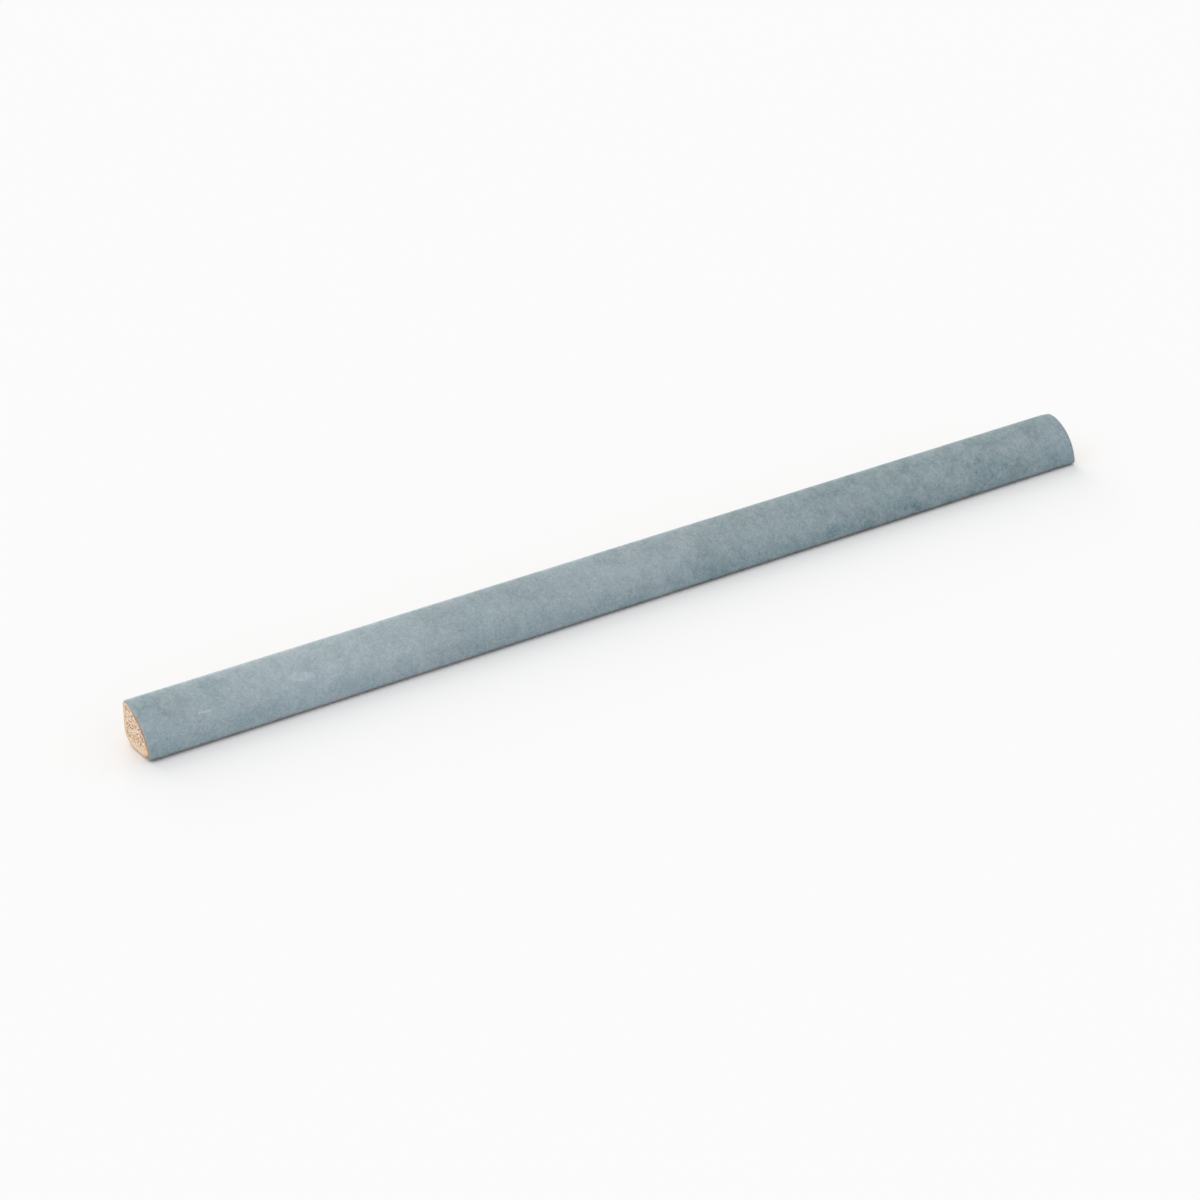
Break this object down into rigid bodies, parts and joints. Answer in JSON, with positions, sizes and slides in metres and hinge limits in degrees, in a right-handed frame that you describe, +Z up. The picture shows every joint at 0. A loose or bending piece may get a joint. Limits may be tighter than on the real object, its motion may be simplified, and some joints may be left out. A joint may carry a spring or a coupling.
{
  "type": "jolly trim tile",
  "caption": "Slim ceramic jolly trim bar with a crowned satin grey-blue glazed face, flat unglazed back and underside, and an eased inner corner, for finishing a tiled edge.",
  "frame": {"origin": "bottom centre of the bounding box: middle of the length, midway between front and back, on the flat underside", "axes": "+X along the bar, +Y out of the flat bonding back, +Z up; the glazed crowned face looks towards -Y and +Z"},
  "size_m": [0.3, 0.0134, 0.0122],
  "materials": {
    "glazed_body": "satin grey-blue mottled glaze on the nose, face and toe; bare tan bisque on the ends, back and underside"
  },
  "bodies": {
    "root": {"jolly_trim_tile": "glazed_body"}
  },
  "joints": []
}
